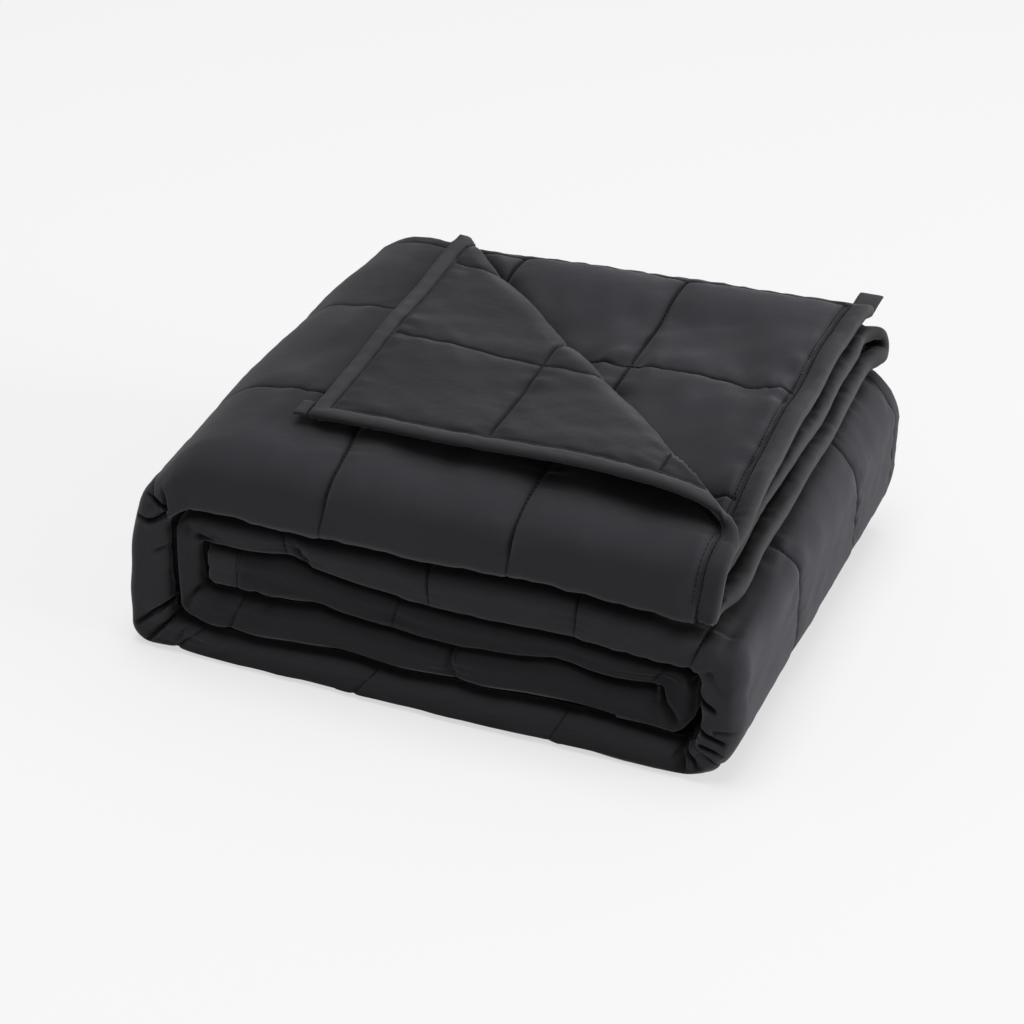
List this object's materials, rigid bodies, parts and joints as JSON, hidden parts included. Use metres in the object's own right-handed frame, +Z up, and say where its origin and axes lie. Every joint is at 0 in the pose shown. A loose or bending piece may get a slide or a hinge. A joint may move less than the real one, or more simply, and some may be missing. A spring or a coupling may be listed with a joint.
{
  "type": "folded weighted blanket",
  "caption": "Weighted quilted blanket folded into a flat block, one corner turned back, with taped edges and tie loops.",
  "frame": {"origin": "centre of the bounding box in plan, at the underside that rests on the surface", "axes": "+Z up; +X along the block to the free end of the roll; +Y from the smooth folded front to the taped edges at the back"},
  "size_m": [0.4388, 0.3726, 0.1869],
  "materials": {
    "quilt_cloth": "dark charcoal brushed microfibre, matt with a faint sheen, quilted in squares with dark thread",
    "binding_tape": "dark charcoal plain woven tape, folded round the edge and topstitched",
    "loop_tape": "dark charcoal narrow woven tape, folded into a loop and sewn under the binding"
  },
  "bodies": {
    "root": {"quilt": "quilt_cloth", "edge_binding": "binding_tape", "tie_loop_corner": "loop_tape", "tie_loop_flap": "loop_tape"}
  },
  "joints": []
}
